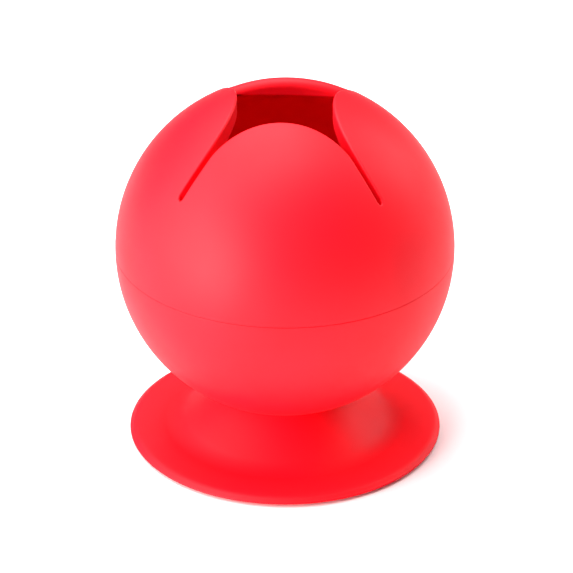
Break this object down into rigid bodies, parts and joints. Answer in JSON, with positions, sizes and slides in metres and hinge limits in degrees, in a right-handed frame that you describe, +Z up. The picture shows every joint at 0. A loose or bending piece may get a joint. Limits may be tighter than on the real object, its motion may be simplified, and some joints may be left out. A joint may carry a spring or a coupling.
{
  "type": "desk-top debris collector ball",
  "caption": "Hollow soft silicone ball with a wiping mouth and a springy tongue, opening at the equator, on a suction foot; tweezers and picks are wiped clean in it.",
  "frame": {"origin": "middle of the underside of the suction foot, on the bench", "axes": "+Z up through the middle of the ball; -Y towards the side the tongue is on; +X to the right when looking at the tongue"},
  "size_m": [0.07, 0.07, 0.0766],
  "materials": {
    "ball_silicone": "matte moulded silicone, clear red",
    "foot_silicone": "matte moulded silicone, clear red"
  },
  "bodies": {
    "foot": {"suction_skirt": "foot_silicone"},
    "hub": {"cup_hub": "foot_silicone"},
    "bowl": {"lower_bowl": "ball_silicone"},
    "dome": {"upper_dome": "ball_silicone"},
    "tongue": {"wiper_tongue": "ball_silicone"}
  },
  "joints": [
    {"name": "foot_press", "type": "slide", "parent": "foot", "child": "hub", "axis": [0, 0, -1], "range_m": [0, 0.002], "stiffness_N_per_m": 4000, "deforming": ["suction_skirt"]},
    {"name": "ball_swivel", "type": "hinge", "parent": "hub", "child": "bowl", "pos_m": [0, 0, 0.0134], "axis": [0, 0, 1], "continuous": true},
    {"name": "dome_lift", "type": "slide", "parent": "bowl", "child": "dome", "axis": [0, 0, 1], "range_m": [0, 0.04]},
    {"name": "tongue_flex", "type": "hinge", "parent": "dome", "child": "tongue", "pos_m": [0, -0.024, 0.061], "axis": [-1, 0, 0], "range_deg": [0, 10], "stiffness_Nm_per_rad": 0.02}
  ]
}
